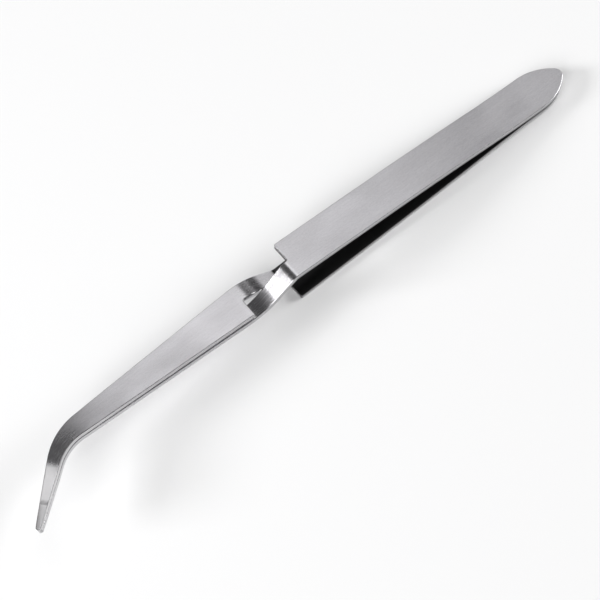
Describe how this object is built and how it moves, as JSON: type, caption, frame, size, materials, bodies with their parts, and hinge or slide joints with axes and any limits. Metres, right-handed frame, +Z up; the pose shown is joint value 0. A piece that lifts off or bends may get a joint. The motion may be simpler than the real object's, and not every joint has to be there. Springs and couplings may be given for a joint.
{
  "type": "reverse-action tweezers",
  "caption": "Self-closing tweezers: crossed sheet-steel blades welded at a pointed rear end, slim tips bent to one side; squeezing the handle leaves opens the tips.",
  "frame": {"origin": "bottom centre of the bounding box, with the tweezers lying on the lower leaf's straight finger face", "axes": "+X from the welded rear end to the tips, +Y towards the side the tips are bent to, +Z up from the lower leaf to the upper leaf"},
  "size_m": [0.1622, 0.0188, 0.0125],
  "materials": {
    "blade_steel": "fine brushing along the blade, darker polished bends",
    "weld_steel": "ground flush and polished"
  },
  "bodies": {
    "welded_end": {"upper_tang": "blade_steel", "lower_tang": "blade_steel", "end_weld": "weld_steel"},
    "upper_blade": {"upper_arm": "blade_steel"},
    "lower_blade": {"lower_arm": "blade_steel"}
  },
  "joints": [
    {"name": "upper_squeeze", "type": "hinge", "parent": "welded_end", "child": "upper_blade", "pos_m": [-0.05511, -0.00423, 0.00459], "axis": [0, 1, 0], "range_deg": [0, 4.2], "stiffness_Nm_per_rad": 8, "springref_deg": -1.72},
    {"name": "lower_squeeze", "type": "hinge", "parent": "welded_end", "child": "lower_blade", "pos_m": [-0.05495, -0.00423, 0.00149], "axis": [0, -1, 0], "range_deg": [0, 4.2], "stiffness_Nm_per_rad": 8, "springref_deg": -1.72}
  ],
  "couplings": [
    {"joint": "lower_squeeze", "follows": "upper_squeeze", "ratio": 1}
  ]
}
